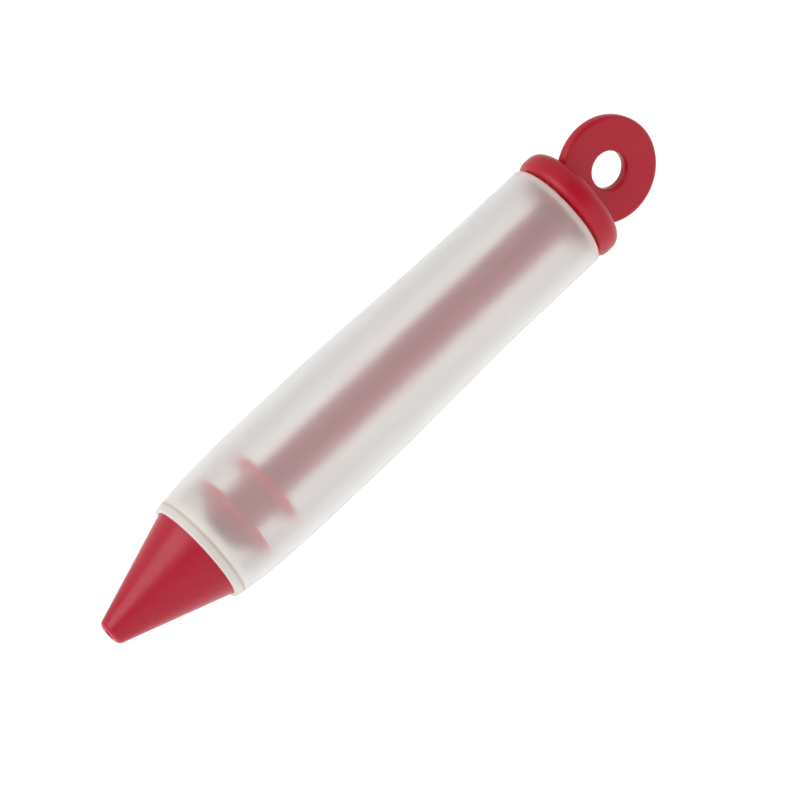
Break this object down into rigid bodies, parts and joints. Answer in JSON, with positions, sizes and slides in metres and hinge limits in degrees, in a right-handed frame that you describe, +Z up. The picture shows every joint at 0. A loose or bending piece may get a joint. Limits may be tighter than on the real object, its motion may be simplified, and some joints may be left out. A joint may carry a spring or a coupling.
{
  "type": "cake decorating syringe",
  "caption": "Pen-shaped decorating syringe: frosted soft squeeze tube, push-in cone nozzle, and a ringed plunger with a soft piston head.",
  "frame": {"origin": "under the middle of the pen, on the surface that it lies on", "axes": "+X runs along the pen from the nozzle towards the hanging ring, +Z is up, and the ring stands upright in the XZ plane"},
  "size_m": [0.159, 0.0278, 0.0278],
  "materials": {
    "frosted_silicone": "frosted, translucent, soft silicone with a satin skin",
    "nozzle_silicone": "matte, fine-grained silicone",
    "piston_silicone": "soft satin silicone",
    "rod_plastic": "satin moulded plastic",
    "handle_plastic": "satin-gloss moulded plastic"
  },
  "bodies": {
    "barrel": {"barrel": "frosted_silicone"},
    "nozzle": {"nozzle_cone": "nozzle_silicone"},
    "piston": {"piston_head": "piston_silicone"},
    "plunger": {"plunger_rod": "rod_plastic", "ring_handle": "handle_plastic"}
  },
  "joints": [
    {"name": "nozzle_pull", "type": "slide", "parent": "barrel", "child": "nozzle", "axis": [-1, 0, 0], "range_m": [0, 0.03]},
    {"name": "plunger_draw", "type": "slide", "parent": "barrel", "child": "piston", "axis": [1, 0, 0], "range_m": [0, 0.11]},
    {"name": "ring_turn", "type": "hinge", "parent": "piston", "child": "plunger", "pos_m": [0.06748, 0, 0.0139], "axis": [1, 0, 0], "continuous": true}
  ]
}
